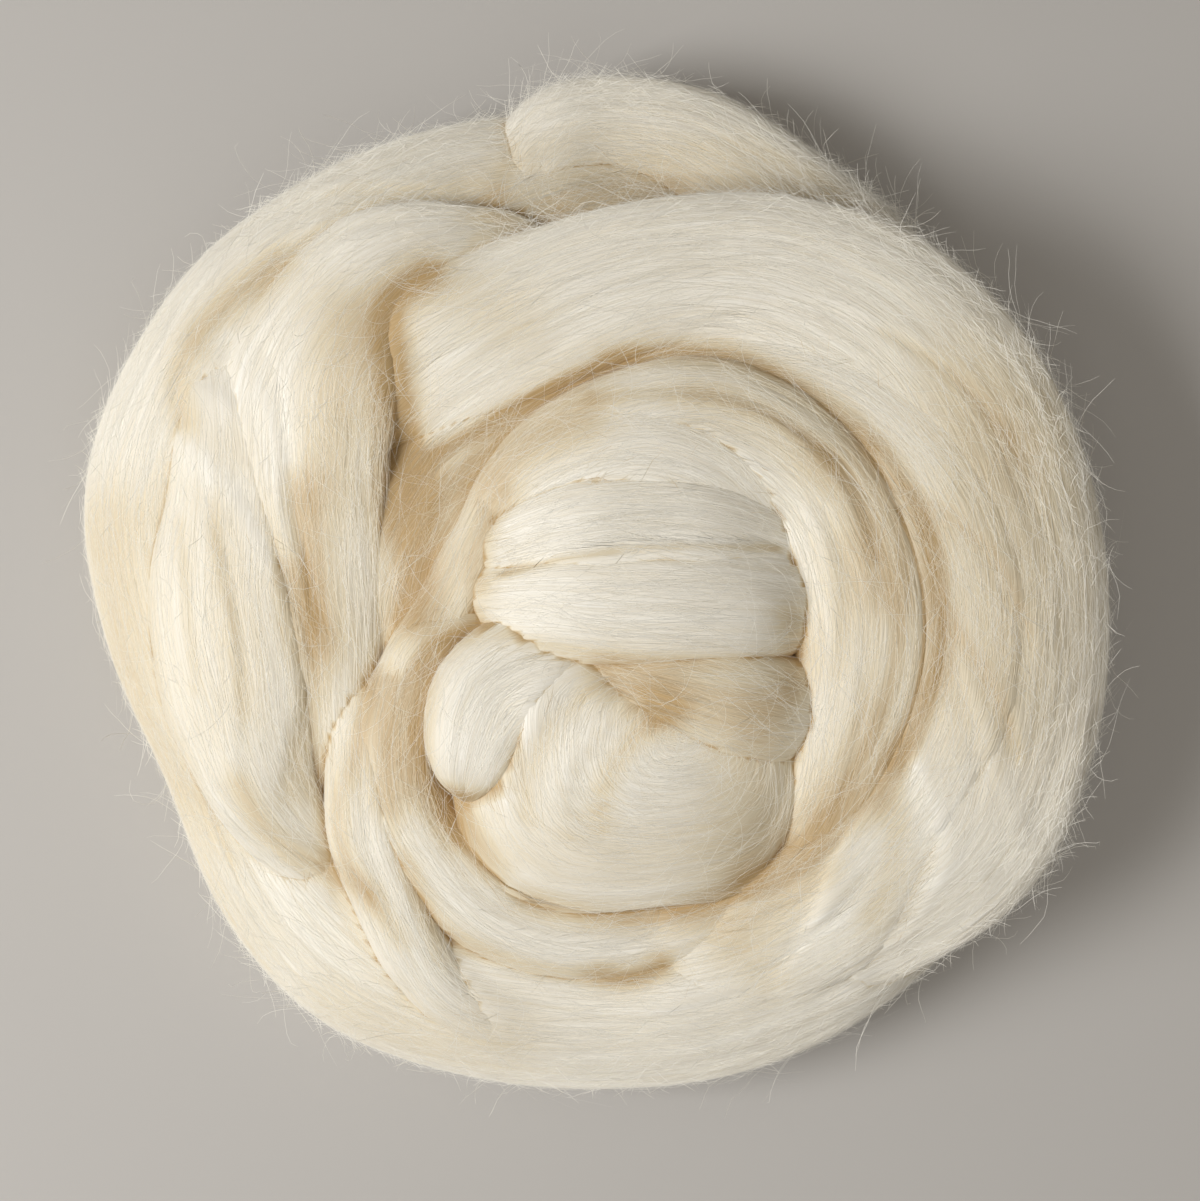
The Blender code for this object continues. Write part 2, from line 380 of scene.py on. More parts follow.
lay_turn("left_ridge", 0.62, [
    Section(-90, 66, 26, 5),
    Section(-86, 54, 34.5, 12, -8),
    Section(-83, 40, 40, 24, -14),
    Section(-82, 20, 41, 32, -18),
    Section(-82, -2, 41, 36, -18),
    Section(-80, -24, 41, 33, -14),
    Section(-77, -42, 40, 27, -8),
    Section(-71, -54, 38, 21, -4),
    Section(-62, -64, 35, 16),
    Section(-51, -72, 30, 10),
], seed=12, cap=20)


# ---- Upper turn ----
# The broad turn over the right and the back. It climbs out of the outer turn at the bottom, lies nearly
# flat across the back, and dives under the left lobe. Combed wool, pressed wide by its own weight.

lay_turn("upper_turn", 0.56, [
    Section(-6, -92, 16, 8),
    Section(17, -90, 22, 14),
    Section(41, -83, 29, 28, -8),
    Section(65, -71, 36, 42, -8),
    Section(85, -56, 41, 47, -4),
    Section(95, -31, 42, 48),
    Section(97, -5, 43, 48),
    Section(93, 21, 44, 48),
    Section(84, 43, 45, 46),
    Section(68, 61, 47, 42),
    Section(47, 71, 49, 37),
    Section(25, 73, 50, 34),
    Section(5, 69, 50, 35),
    Section(-15, 61, 48, 37, 4),
    Section(-34, 52, 44.5, 38, 13),
    Section(-48, 41, 37, 36, 12),
    Section(-58, 26, 28, 24),
], seed=3)


# ---- Middle turn ----
# The turn inside the upper one: it starts below the left lobe, runs round the back under the upper
# turn's edge, and sinks into the wool at the bottom.

lay_turn("middle_turn", 0.70, [
    Section(-46, -30, 28, 16),
    Section(-45, -8, 35, 28),
    Section(-39, 13, 37.5, 34),
    Section(-24, 31, 38.5, 34),
    Section(0, 45, 42, 27),
    Section(25, 51, 45, 26),
    Section(50, 48, 46, 30),
    Section(70, 35, 46, 36),
    Section(83, 11, 46, 40),
    Section(86, -14, 45, 40),
    Section(80, -40, 43, 40),
    Section(65, -62, 40, 38),
    Section(45, -77, 35, 36),
    Section(22, -86, 30, 32),
    Section(0, -89, 25, 26),
    Section(-22, -84, 20, 16),
], seed=4)


# ---- Inner turn ----
# The narrow rounded turn that frames the middle, laid anticlockwise round the heart and flattened at the
# bottom, with a lock of its wool split off along the lower left.

lay_turn("inner_turn", 0.80, [
    Section(40, -74, 30, 8),
    Section(52, -59, 41, 18),
    Section(60, -38, 47, 27),
    Section(64, -14, 50, 31),
    Section(61, 8, 51, 31),
    Section(50, 27, 52, 29),
    Section(30, 38, 53, 28),
    Section(9, 36, 53, 26),
    Section(-8, 29, 51, 21),
    Section(-19, 18, 49.5, 15),
    Section(-26, 6, 48.5, 12),
    Section(-32, -6, 47, 14),
    Section(-38, -18, 45, 17),
    Section(-42, -32, 44, 19),
    Section(-41, -48, 43, 19),
    Section(-34, -63, 42, 19),
    Section(-21, -76, 40, 18),
    Section(-2, -82, 39, 18),
    Section(18, -79, 38, 17),
    Section(33, -73, 38.5, 15),
    Section(46, -64, 38, 11),
    Section(55, -54, 36, 6),
], seed=5, cap=14)

lay_turn("side_lock", 0.80, [
    Section(-46, -5, 30, 10),
    Section(-48.5, -22, 38, 16),
    Section(-50.5, -42, 42, 18),
    Section(-50, -58, 42, 17),
    Section(-45, -71, 42, 15),
    Section(-40, -83, 40.5, 14),
    Section(-34, -93, 38, 12),
    Section(-24, -100, 35.5, 10),
    Section(-8, -104, 32.5, 8),
    Section(8, -104, 29, 5),
], seed=15, lock_width=2.5)


# ---- Crown ----
# The highest part: the strand folded over the middle from left to right, drawn into three broad bands
# side by side, with a fine line between each two.

lay_turn("crown_back", 0.60, [
    Section(-24, 8, 44, 12),
    Section(-15, 20, 52, 20),
    Section(0, 28, 56, 26),
    Section(15, 30, 57, 28),
    Section(29, 26, 56, 27),
    Section(40, 16, 53, 22),
    Section(47, 2, 46, 12),
], seed=6)

lay_turn("crown_middle", 0.70, [
    Section(-25, 6, 42, 8),
    Section(-15, 9, 53, 18),
    Section(-2, 12, 58.5, 24),
    Section(12, 13, 59.5, 25),
    Section(28, 12, 58.5, 25),
    Section(42, 9, 53, 20),
    Section(52, 4, 44, 10),
], seed=16, cap=16)

lay_turn("crown_front", 0.72, [
    Section(-27, -4, 42, 10),
    Section(-18, -3, 51, 17),
    Section(-6, -3, 58, 23),
    Section(8, -4, 60, 26),
    Section(22, -4, 60.5, 26),
    Section(37, -4, 58, 25),
    Section(52, -5, 48, 20),
], seed=26, cap=14)


# ---- Under fold ----
# A pleat of the same wool that comes out below the crown and widens to the right, where the inner turn
# covers its end.

lay_turn("under_fold", 0.60, [
    Section(-8, -14, 51, 6),
    Section(8, -18, 57.5, 14),
    Section(22, -22, 59.5, 20),
    Section(36, -26, 58, 24),
    Section(52, -30, 49, 22),
], seed=7)


# ---- Heart ----
# The round ball of wool in the lower middle. Its fibres swirl round a point hidden below the fold, so
# the strand is laid round that point, as wide as its distance from it, and roofed by one low dome.

Dome = namedtuple("Dome", "x y z reach_x reach_y height pivot_x pivot_y")

lay_turn("heart", 0.45, [
    Section(27, -19, 46),
    Section(20.5, -18.5, 46),
    Section(10.5, -20.5, 46),
    Section(1, -25, 46),
    Section(-1, -32.5, 46),
    Section(-1, -40, 46),
    Section(1.5, -46.5, 46),
    Section(8, -51, 46),
    Section(17, -51.5, 46),
    Section(25, -50.5, 46),
    Section(32, -49, 46),
    Section(37.5, -44.5, 46),
    Section(39, -36.5, 46),
    Section(37, -30, 46),
], seed=8, cap=6, dome=Dome(9, -40, 45.5, 41, 35, 17, 27, -30))


# ---- Tucked tip ----
# The end of the roving, folded into an egg at the left of the heart, and the thin lock that is pulled
# round it from below the crown.

lay_turn("tucked_tip", 0.70, [
    Section(8, -20, 48, 18, 10),
    Section(-3, -17, 50, 24, 14),
    Section(-13, -19, 51.5, 27, 14),
    Section(-21, -25, 53, 27, 8),
    Section(-24.5, -33, 54.5, 24, 4),
    Section(-26.5, -41, 55, 19),
    Section(-27.5, -48, 53, 14),
], seed=9, lock_width=2.5, cap=12)

lay_turn("loop_lock", 0.80, [
    Section(-20, -8, 49, 4),
    Section(-30, -8.5, 50, 6),
    Section(-37, -12, 50, 7.5),
    Section(-41.5, -19, 48.5, 7.5),
    Section(-41.0, -27, 47.5, 6),
    Section(-39.0, -37, 46, 5),
    Section(-37.5, -46, 43, 3),
], seed=19, lock_width=1.5)


# ---- Soft joins ----
# Where turns of loose wool touch, their own weight presses them together: the crease between them fills
# up, softly nearly everywhere, and almost to nothing in a few places.

skins = [skin for _, skin in laid]


def surface_of(skin):
    """The places and normals of a skin's vertices."""
    places, normals = np.empty(3 * len(skin.data.vertices)), np.empty(3 * len(skin.data.vertices))
    skin.data.vertices.foreach_get("co", places)
    skin.data.vertices.foreach_get("normal", normals)
    return places.reshape(-1, 3), normals.reshape(-1, 3)


def reshaped(skin, places):
    """Moves a skin's vertices to these places, none of them below the table."""
    places[:, 2] = np.maximum(places[:, 2], LOWEST)
    skin.data.vertices.foreach_set("co", places.ravel())
    skin.data.update()


def joined_skins(pieces):
    bm = bmesh.new()
    for piece in pieces:
        bm.from_mesh(piece.data)
    tree = BVHTree.FromBMesh(bm)
    bm.free()
    return tree


SOFT_JOIN = 5.0  # how wide a plain join is, in millimetres
FLATTENED = 2.5 * MM  # as near as this to a join, locks are pressed flat

# The middle and reach of each softer place, and how wide its joins are, in millimetres.
SOFT_ZONES = (
    (-106, -14, 38, 15),
    (98, 0, 52, 13),
    (52, 84, 34, 11),
    (45, -96, 48, 13),
    (-12, -16, 11, 8),
    (5, 93, 20, 9),
    (24, -80, 15, 9),
    (-85, 52, 18, 9),
    (-20, 100, 14, 7),
    (12, 8, 30, 8),
    (-88, 58, 18, 10),
    (-58, -86, 24, 10),
    (-84, 46, 10, 8),
    (-42, 26, 8, 7),
    (56, -92, 20, 14),
    (26, -80, 14, 12),
    (-6, -26, 14, 14),
    (-26, 4, 11, 11),
    (-50, -32, 10, 9),
    (-22, -64, 14, 9),
    (8, -74, 22, 8),
    (44, -58, 14, 8),
    (-18, 103, 9, 9),
    (-18, 82, 10, 8),
    (-46, 44, 15, 9),
    (50, -15, 8, 9),
    (47, 5, 9, 8),
    (-50, -84, 12, 8),
    (-28, -99, 18, 9),
    (-31, -82, 9, 9),
    (-56, -32, 7, 8),
    (-48, 38, 10, 8),
)


def join_width(places):
    """How gently neighbouring turns run into each other here: softly all over, more so in a few places."""
    width = np.full(len(places), SOFT_JOIN)
    for x, y, radius, most in SOFT_ZONES:
        away = np.hypot(places[:, 0] / MM - x, places[:, 1] / MM - y) / radius
        share = np.clip(1.8 * (1 - away), 0, 1)
        width = np.maximum(width, SOFT_JOIN + (most - SOFT_JOIN) * share * share * (3 - 2 * share))
    return width * MM


def press_together():
    """Fills the creases between touching turns, as soft wool does under its own weight."""
    moved = []
    for skin in skins:
        others = joined_skins([other for other in skins if other is not skin])
        places, normals = surface_of(skin)
        width = join_width(places)
        gap = np.full(len(places), 1.0)
        for i in range(len(places)):
            spot = Vector(places[i])
            near, facing, _, away = others.find_nearest(spot, width[i])
            if near is not None:
                gap[i] = away if (spot - near).dot(facing) > 0 else -away
        share = np.clip(1 - np.abs(gap) / width, 0, 1)
        standing = np.empty(len(places))
        skin.data.attributes["standing_out"].data.foreach_get("value", standing)
        pressed = np.clip(1 - np.abs(gap) / FLATTENED, 0, 1) * standing
        moved.append(places + normals * (share * share * width / 4 - pressed)[:, None])
    for skin, places in zip(skins, moved):
        reshaped(skin, places)


press_together()


# ---- Lapped locks ----
# Locks of wool that lie over their neighbours with one edge standing up, where the strand was pulled and
# turned by hand. Each line follows one such edge.

Lap = namedtuple("Lap", "height spread notch line")

LAPS = (
    Lap(1.2, 6, 0.8, ((-62, -10), (-65, 5), (-68, 18), (-69, 30), (-71, 40), (-75, 50), (-81, 58))),
    Lap(0.9, 9, 0.2, (
        (-71, -52), (-69, -42), (-66, -31), (-64, -20), (-66, -8), (-71, 6), (-77, 18),
        (-85, 28), (-94, 36)
    )),
    Lap(0.7, 3, 0.4, ((-71, 22), (-75, 35), (-81, 43), (-89, 47), (-97, 50))),
    Lap(0.7, 6, 0.5, ((-79, -46), (-79, -28), (-80, -10), (-84, 8), (-90, 22))),
    Lap(0.5, 5, 0.3, ((-88, -38), (-90, -20), (-92, 0), (-95, 18))),
    Lap(1.1, 6, 0.5, ((-86, -36), (-81, -47), (-75, -56), (-67, -62), (-57, -67))),
    Lap(0.8, 6, 0.4, ((-84, -50), (-76, -59), (-66, -66), (-54, -71))),
    Lap(0.8, 5, 0.5, ((18, 56), (30, 61), (41, 64), (53, 64), (65, 60))),
    Lap(0.9, 6, 0.4, ((56, 61), (69, 58), (80, 51), (90, 43), (98, 32))),
    Lap(0.8, 6, 0.4, ((78, 20), (88, 12), (94, 4), (99, -6), (103, -18))),
    Lap(0.9, 5, 0.5, ((79, -3), (87, -14), (92, -22), (97, -32), (100, -44))),
    Lap(0.6, 5, 0.3, ((82, -12), (86, -24), (90, -36), (91, -48), (89, -60))),
    Lap(0.8, 6, 0.5, ((65, -10), (65, 6), (61, 19), (54, 29), (44, 37), (32, 42), (18, 43.5), (2, 42))),
    Lap(1.0, 5, 0.4, ((53, -32), (57, -18), (58, -4), (56, 8), (52, 19))),
    Lap(0.5, 5, 0.3, ((38, 15), (20, 18), (0, 19), (-16, 17))),
    Lap(0.4, 5, 0.9, ((44, 9), (28, 9.5), (8, 8.5), (-10, 5), (-21, 1))),
    Lap(0.9, 7, 0.4, ((10, -63), (0, -57), (-3, -48), (2, -38), (12, -31))),
    Lap(0.5, 5, 0.2, ((30, -58), (20, -56), (13, -50), (13, -42), (18, -35))),
    Lap(0.7, 6, 0.3, ((-4, -66), (-14, -57), (-15, -44), (-9, -32), (-2, -22))),
    Lap(0.6, 4, 0.4, ((-36, -66), (-28, -75), (-15, -81), (0, -83.5), (14, -82))),
    Lap(0.7, 5, 0.3, ((0, -97), (12, -101), (26, -98), (40, -93))),
    Lap(0.8, 6, 0.3, ((30, -82), (44, -84), (56, -76), (64, -64))),
    Lap(1.3, 6, 0.4, ((73, -34), (74.5, -42), (77, -50), (80, -58), (79.5, -67), (75, -77), (68, -86))),
    Lap(1.3, 7, 0.4, ((66, -48), (60, -56), (55, -65), (52, -74), (49, -83), (43, -92))),
    Lap(0.8, 6, 0.3, ((84, -18), (88, -30), (93, -43), (98, -54), (99, -64))),
    Lap(0.9, 5, 0.6, ((-93, 32), (-97, 43), (-96, 54), (-88, 67), (-75, 77.5), (-57, 83.5), (-38, 85))),
    Lap(0.6, 6, 0.3, ((-75, 88), (-60, 92), (-45, 93), (-30, 92))),
    Lap(0.6, 6, 0.3, ((5, 112), (20, 111), (36, 104), (50, 94), (64, 82))),
    Lap(0.6, 6, 0.3, ((-15, 74), (5, 80), (28, 81), (50, 78), (68, 68), (84, 54))),
    Lap(0.6, 6, 0.3, ((-30, 48), (-12, 60), (8, 66), (30, 69))),
)


def lap_offset(places, lap):
    """A lock's edge lapped over its neighbour: a quick rise and a slow fall on the left of the line."""
    knots = np.array(lap.line, float) * MM
    line = smooth_run(knots, np.linspace(0, len(knots) - 1, 12 * len(knots)))
    heading = unit(np.gradient(line, axis=0))
    offset = np.zeros(len(places))
    reach = (3 * lap.spread + 4) * MM
    low, high = line.min(0) - reach, line.max(0) + reach
    inside = np.flatnonzero(np.all((places[:, :2] > low) & (places[:, :2] < high), axis=1))
    gap = places[inside, None, :2] - line[None]
    step = np.argmin((gap**2).sum(-1), axis=1)
    row = np.arange(len(inside))
    away = gap[row, step]
    across = (heading[step, 0] * away[:, 1] - heading[step, 1] * away[:, 0]) / MM
    beyond = np.abs((heading[step] * away).sum(-1)) / MM
    share = rounded(2 * step / (len(line) - 1) - 1) * np.clip(1 - beyond / 3, 0, 1)
    rise = np.clip((across + 0.8) / 2.4, 0, 1)
    rise = rise * rise * (3 - 2 * rise) * np.exp(-np.maximum(across, 0) / lap.spread) * lap.height
    dip = lap.notch * np.exp(-((across + 1.0) / 1.3) ** 2)
    offset[inside] = share * (rise - dip) * MM
    return offset


for skin in skins:
    places, normals = surface_of(skin)
    upward = np.clip(normals[:, 2] * 3, 0, 1)
    offset = sum(lap_offset(places, lap) for lap in LAPS) * upward
    reshaped(skin, places + normals * offset[:, None])


# ---- Deep and open wool: painted shade ----
# The light is painted into the wool's colour here: wool open to the air is painted pale, and wool deep
# between turns is painted warmer and darker, as the light comes back from it weaker. Open air is measured
# over every spot, and each listed line paints more shade along a crease or over a side that gets less
# light, or a painted highlight where a lock catches the light.

def ways_out(count, spread, rise):
    """Directions into the air, evenly round the upright."""
    turns = np.arange(count) * 2 * pi / count
    return [Vector((spread * np.cos(a), spread * np.sin(a), rise)).normalized() for a in turns]


UPRIGHT = Vector((0, 0, 1))
WAYS_OUT = ways_out(8, 0.9, 0.6) + ways_out(4, 0.45, 1.0) + [UPRIGHT]
OPEN_REACH = 35 * MM  # wool farther off than this takes no light away
BLOCKED = 0.45  # the most that a way counts where wool stands in it


def openness(tree, place, facing):
    """How much open air lies over a spot of the wool, from 0 to 1."""
    total = 0.0
    for way in WAYS_OUT:
        lean = way.dot(facing)
        if lean < 0.1:
            way = way - facing * (2 * lean - 0.2)
        away = tree.ray_cast(place, way, OPEN_REACH)[3]
        if away is not None:
            total += BLOCKED * min(away / OPEN_REACH, 1)
        elif way.z > -0.1:
            total += 1.0
        else:
            total += 0.5  # towards the table
    return total / len(WAYS_OUT)


# A line of painted shade: how much darker it paints the wool, or lighter where negative as a painted
# highlight, how wide in millimetres, and its points.
Shade = namedtuple("Shade", "depth width line")

SHADES = (
    Shade(0.50, 6, ((-37, 71), (-43, 66), (-46, 60), (-45, 50), (-44, 38), (-42, 28))),
    Shade(0.26, 3, ((-36, 71), (-44.5, 66), (-44, 58), (-43, 48), (-41, 38), (-40, 30))),
    Shade(0.55, 2.0, ((-43, 24), (-30, 32.5), (-20, 38), (-10, 43.5), (0, 48), (10, 52))),
    Shade(0.30, 7, ((-42, 16), (-28, 25), (-15, 34), (0, 42))),
    Shade(0.60, 8, ((-41, 20), (-39, 6), (-39, -6))),
    Shade(0.28, 4, ((-72, 75), (-83, 67), (-91, 58), (-95, 48), (-93, 38))),
    Shade(0.12, 6, ((-70, 74), (-80, 66), (-88, 56))),
    Shade(0.22, 2.5, ((-68, 24), (-66, 14), (-64, 3), (-62, -8))),
    Shade(0.14, 4, ((-61, -14), (-62, -26), (-64, -36), (-66, -48))),
    Shade(0.08, 6, ((-57, -38), (-60, -50), (-58, -60))),
    Shade(0.30, 3.5, ((-80, -46), (-75, -56), (-67, -63), (-57, -68), (-50, -72))),
    Shade(0.24, 22, ((98, 34), (98, 6), (94, -22))),
    Shade(0.24, 11, ((38, -36), (38, -56))),
    Shade(0.28, 11, ((-113, 14), (-111, -4), (-108, -24), (-103, -44))),
    Shade(0.16, 10, ((-98, -58), (-91, -74), (-82, -88))),
    Shade(0.38, 7, ((-64, 18), (-63, 2), (-61, -12))),
    Shade(0.26, 8, ((-56, 62), (-57, 44), (-60, 26))),
    Shade(0.20, 7, ((64, -30), (58, -45), (50, -58))),
    Shade(0.30, 8, ((20, -24), (40, -27))),
    Shade(0.12, 7, ((78, 14), (74, -4), (74, -20))),
    Shade(0.15, 2.5, ((-70, -50), (-68, -42), (-65, -31), (-63, -20), (-65, -8), (-70, 6), (-76, 18))),
    Shade(0.15, 5, ((-26, 86), (-22, 88), (-19, 84))),
    Shade(0.14, 3, ((-21, 88), (-20, 94), (-18, 100))),
    Shade(0.16, 5, ((-8, 90), (0, 94), (10, 95), (20, 93))),
    Shade(0.15, 1.5, ((-86, 16), (-83, 0), (-80, -16), (-79, -30))),
    Shade(0.12, 1.5, ((-94, 14), (-92, -4), (-90, -24))),
    Shade(0.20, 2, ((2, 42), (18, 43.5), (32, 42), (44, 37), (54, 29), (61, 19), (65, 6))),
    Shade(0.36, 3, (
        (5, 52), (20, 53), (35, 51), (50, 44), (62, 35), (70, 25), (77, 12), (80, -4),
        (80, -18), (76, -30), (71, -40)
    )),
    Shade(0.32, 6, ((70, -40), (62, -52), (54, -60), (46, -66), (38, -68))),
    Shade(-0.16, 1.5, ((66, 30), (72.5, 16), (75, 0), (74, -16), (70, -31), (62, -45))),
    Shade(-0.14, 1.2, ((68, -8), (67, -20), (63, -33), (57, -45), (49, -56))),
    Shade(-0.12, 1.2, ((62, -58), (53, -66), (44, -72), (34, -75))),
    Shade(0.38, 1.1, ((-20, 2), (-8, 5), (8, 7.5), (25, 8.5), (43, 8))),
    Shade(0.30, 4, ((46, -8), (48, -14), (47, -24))),
    Shade(0.34, 4, ((-25, 0), (-25, 7), (-22, 14), (-18, 20))),
    Shade(0.20, 2, ((-20, -11), (-5, -15), (8, -17.5), (25, -18), (45, -16))),
    Shade(0.42, 6, ((6, -21), (13, -24), (18, -28))),
    Shade(0.30, 2.5, ((17, -29), (9, -37), (4, -46), (3, -54))),
    Shade(0.12, 1.2, ((10, -28), (1, -37), (-4, -47), (-4, -57))),
    Shade(0.20, 2, ((0, -24), (-8, -33), (-13, -44), (-14, -55))),
    Shade(0.40, 5, ((-29, -50), (-28, -56), (-23, -62))),
    Shade(0.30, 3.5, ((-37, -22), (-38, -35), (-36, -48), (-31, -58))),
    Shade(0.28, 1.5, ((-32, -47), (-26, -48.5), (-20, -46), (-16, -38))),
    Shade(0.35, 2.5, ((-38, -18), (-33, -13), (-25, -10.5))),
    Shade(0.22, 4, ((-14, -72), (0, -76), (12, -77), (26, -74), (38, -68))),
    Shade(0.30, 2.5, ((-41, -64), (-36, -76), (-28, -83), (-15, -88), (0, -91), (12, -91), (18, -88))),
    Shade(0.30, 4, ((3, -90), (10, -91.5), (17, -88.5))),
    Shade(0.16, 2, ((-45, -52), (-42, -66), (-37, -78), (-34, -88))),
    Shade(0.25, 2.5, ((-50, -22), (-53, -38), (-57, -50), (-56, -62), (-49, -73), (-43, -82))),
    Shade(0.16, 1.5, ((80, 17), (90, 9), (96, 0), (101, -12))),
    Shade(0.18, 1.5, ((81, -6), (88, -16), (94, -27), (99, -40))),
    Shade(0.14, 1.5, ((68, 57), (80, 50), (90, 41), (98, 30))),
    Shade(0.22, 4, ((69, -50), (71, -58), (70, -67), (66, -76))),
    Shade(0.22, 7, ((26, -77), (36, -77), (47, -74), (56, -68))),
    Shade(0.42, 6, ((-46, -24), (-46, -36), (-45, -48))),
    Shade(0.22, 8, ((56, 26), (63, 16), (66, 0))),
    Shade(0.18, 8, ((26, 42), (42, 38), (54, 30))),
    Shade(0.14, 9, ((-28, 66), (-16, 60))),
    Shade(0.16, 6, ((58, 8), (59, -6), (57, -18))),
    Shade(0.14, 10, ((-60, -100), (-40, -106), (-20, -108))),
    Shade(0.16, 6, ((-22, 22), (-12, 29), (0, 34))),
    Shade(0.12, 11, ((-84, 28), (-81, 0), (-79, -28))),
    Shade(0.10, 9, ((-8, -60), (8, -62), (24, -60))),
    Shade(-0.25, 3, ((-84, 57), (-75, 46), (-71, 35), (-69, 22), (-67, 9))),
    Shade(-0.20, 3, ((-95, 32), (-85, 25), (-77, 18), (-74, 7))),
    Shade(-0.30, 2, ((75, -41), (76.5, -48), (79, -54), (81.5, -60), (80, -68))),
    Shade(-0.15, 5, ((65, -57), (59, -66), (55, -76))),
    Shade(0.20, 4.5, ((64, 30), (70, 14), (71, 0), (70, -14), (67, -28), (61, -41), (53, -53))),
    Shade(0.10, 12, ((85, 50), (95, 30))),
    Shade(-0.25, 7, ((-14, 13), (8, 14), (30, 13))),
    Shade(-0.10, 5, ((-12, -84), (8, -85))),
    Shade(0.18, 6, ((34, -84), (38, -87), (42, -90))),
)


def painted_shade_along(places, shade):
    """Painted shade along a line, warmer and darker where less light comes back; a negative one is a
    painted highlight.
    """
    knots = np.array(shade.line, float) * MM
    line = smooth_run(knots, np.linspace(0, len(knots) - 1, 10 * len(knots)))
    dark = np.zeros(len(places))
    reach = 2.5 * shade.width * MM
    low, high = line.min(0) - reach, line.max(0) + reach
    inside = np.flatnonzero(np.all((places[:, :2] > low) & (places[:, :2] < high), axis=1))
    gap = ((places[inside, None, :2] - line[None]) ** 2).sum(-1).min(axis=1)
    dark[inside] = shade.depth * np.exp(-gap / (shade.width * MM) ** 2)
    return dark


nest = joined_skins(skins)
for skin in skins:
    spots = [openness(nest, v.co + v.normal * 0.6 * MM, v.normal) for v in skin.data.vertices]
    places, normals = surface_of(skin)
    # The listed painted shade falls mostly on wool that faces up.
    on_top = np.clip(2.5 * normals[:, 2] + 0.3, 0, 1)
    spots = np.clip(spots - on_top * sum(painted_shade_along(places, shade) for shade in SHADES), 0, 1)
    light = skin.data.attributes.new("open_air", "FLOAT", "POINT")
    light.data.foreach_set("value", spots)


# ---- Combed fibres ----
# What a combed top is made of: long fine wool fibres lying side by side along the strand. Most are laid
# down flat, and some stray across their neighbours.

def skin_tree(skin):
    faces = [face.vertices for face in skin.data.polygons]
    return BVHTree.FromPolygons([v.co for v in skin.data.vertices], faces)


def fibre_run(strand, skin, lay, share, draw):
    """Paths of fibres laid on a strand where they can be seen, and how open each point of them lies."""
    count = int(lay.count * share)
    along = draw.uniform(0.01, 0.99, count * 5) * strand.length
    around = draw.uniform(0.06, 0.94, count * 5)
    high = strand.at(along, around, 3.5 * MM)[0]
    width = np.interp(along, strand.marks, strand.half) / strand.half.max()
    chosen = []
    for i in np.flatnonzero(draw.uniform(size=len(along)) < width):
        if any(nest.ray_cast(Vector(high[i]), way, 0.05)[0] is None for way in WAYS_OUT[-3:]):
            chosen.append(i)
        if len(chosen) == count:
            break
    along, around = along[chosen, None], around[chosen, None]
    n = len(chosen)
    t = np.linspace(-0.5, 0.5, lay.points)[None, :]
    span = np.minimum(draw.uniform(*lay.length, (n, 1)) * MM, 0.8 * strand.length)
    along = np.clip(along, 0.52 * span, strand.length - 0.52 * span)
    half = np.maximum(np.interp(along, strand.marks, strand.half), 3 * MM)
    reach = half * (1 + strand.flatness) * pi
    slant = draw.normal(0, lay.stray, (n, 1)) * span
    bends = draw.uniform(0.5, 1.6, (n, 1))
    wave = draw.normal(0, lay.sway, (n, 1)) * MM * np.sin(2 * pi * t * bends + draw.uniform(0, 6, (n, 1)))
    run = along + span * t
    turn = around + (slant * t + wave) / reach
    path = strand.at(run, turn)[0]
    up = draw.uniform(0.2, 1.0, (n, 1)) * lay.rise * MM
    lift = up * np.cos(pi * t) + 0.02 * MM
    loose = draw.uniform(0, 1, (n, 1)) < lay.loose_end
    free = np.abs(draw.normal(0, 1, (n, 1))) * lay.rise * MM * (t + 0.5) ** 2 * 2 + 0.05 * MM
    lift = np.where(loose, free, lift)
    light = np.zeros((n, lay.points))
    facings = np.zeros((n, lay.points, 3))
    own = skin_tree(skin)
    bright = skin.data.attributes["open_air"].data
    for i in range(n):
        for j in range(lay.points):
            near, facing, face, _ = own.find_nearest(Vector(path[i, j]))
            path[i, j] = near + facing * float(lift[i, j])
            facings[i, j] = facing
            # Each point takes the painted shade of the wool below it.
            light[i, j] = bright[skin.data.polygons[face].vertices[0]].value
    path[..., 2] = np.maximum(path[..., 2], LOWEST)
    return path, facings, light


# Three corners each: a low ridge for a fibre that lies down, and a full one for a hair that stands up.
FLAT_FIBRE = ((-1, 0), (0, 0.3), (1, 0))
ROUND_FIBRE = ((0, 1), (0.87, -0.5), (-0.87, -0.5))


def fibre_section(corners):
    """The outline that is drawn along each fibre."""
    curve = bpy.data.curves.new("fibre_section", "CURVE")
    curve.dimensions = "2D"
    rim = curve.splines.new("POLY")
    rim.points.add(len(corners) - 1)
    for point, corner in zip(rim.points, corners):
        point.co = (*corner, 0, 1)
    rim.use_cyclic_u = True
    section = bpy.data.objects.new("fibre_section", curve)
    bpy.context.scene.collection.objects.link(section)
    return section


